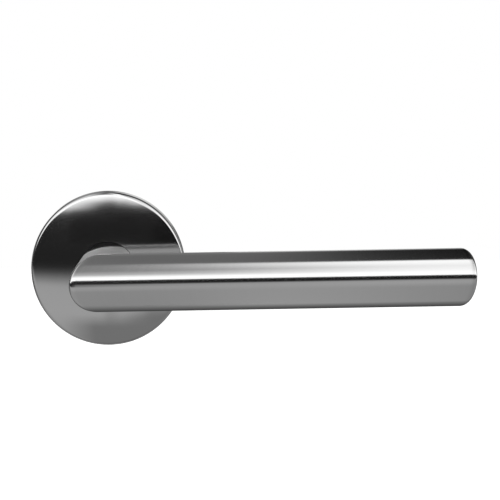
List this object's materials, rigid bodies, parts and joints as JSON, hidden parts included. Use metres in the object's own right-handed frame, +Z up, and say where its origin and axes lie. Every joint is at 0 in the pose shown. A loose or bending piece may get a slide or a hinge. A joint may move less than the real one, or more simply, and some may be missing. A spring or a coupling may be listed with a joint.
{
  "type": "door lever handle",
  "caption": "Satin steel door lever: mitred round-tube grip on a sprung, domed round rose, with square spindle and through-bolt lugs.",
  "frame": {"origin": "on the spindle axis, at the door face", "axes": "+X along the grip, +Y into the door along the spindle, +Z up"},
  "size_m": [0.149, 0.1225, 0.053],
  "materials": {
    "satin_steel": "satin",
    "plated_steel": "zinc plated",
    "spring_steel": "bright drawn",
    "dark_steel": "black oxide",
    "polymer": "matt"
  },
  "bodies": {
    "rose_base": {"base_plate": "plated_steel", "bearing_bush": "polymer", "return_spring": "spring_steel", "rest_stop_pin": "plated_steel", "travel_stop_pin": "plated_steel", "support_lug_left": "plated_steel", "support_lug_right": "plated_steel", "wood_screw_upper": "plated_steel", "wood_screw_lower": "plated_steel", "cover_clip_ring": "spring_steel"},
    "lever": {"grip_tube": "satin_steel", "neck_tube": "satin_steel", "grip_end_cap": "satin_steel", "lever_hub": "plated_steel", "spindle": "plated_steel", "grub_screw": "dark_steel", "spring_driver": "plated_steel", "circlip": "spring_steel", "curved_washer": "spring_steel", "thrust_washer": "plated_steel"},
    "cover": {"rose_cover": "satin_steel", "cover_ring": "polymer"}
  },
  "joints": [
    {"name": "lever_turn", "type": "hinge", "parent": "rose_base", "child": "lever", "pos_m": [0, 0, 0], "axis": [0, 1, 0], "range_deg": [0, 45], "stiffness_Nm_per_rad": 0.8, "springref_deg": -28.65, "deforming": ["return_spring"]},
    {"name": "cover_slide", "type": "slide", "parent": "rose_base", "child": "cover", "axis": [0, -1, 0], "range_m": [0, 0.03]}
  ]
}
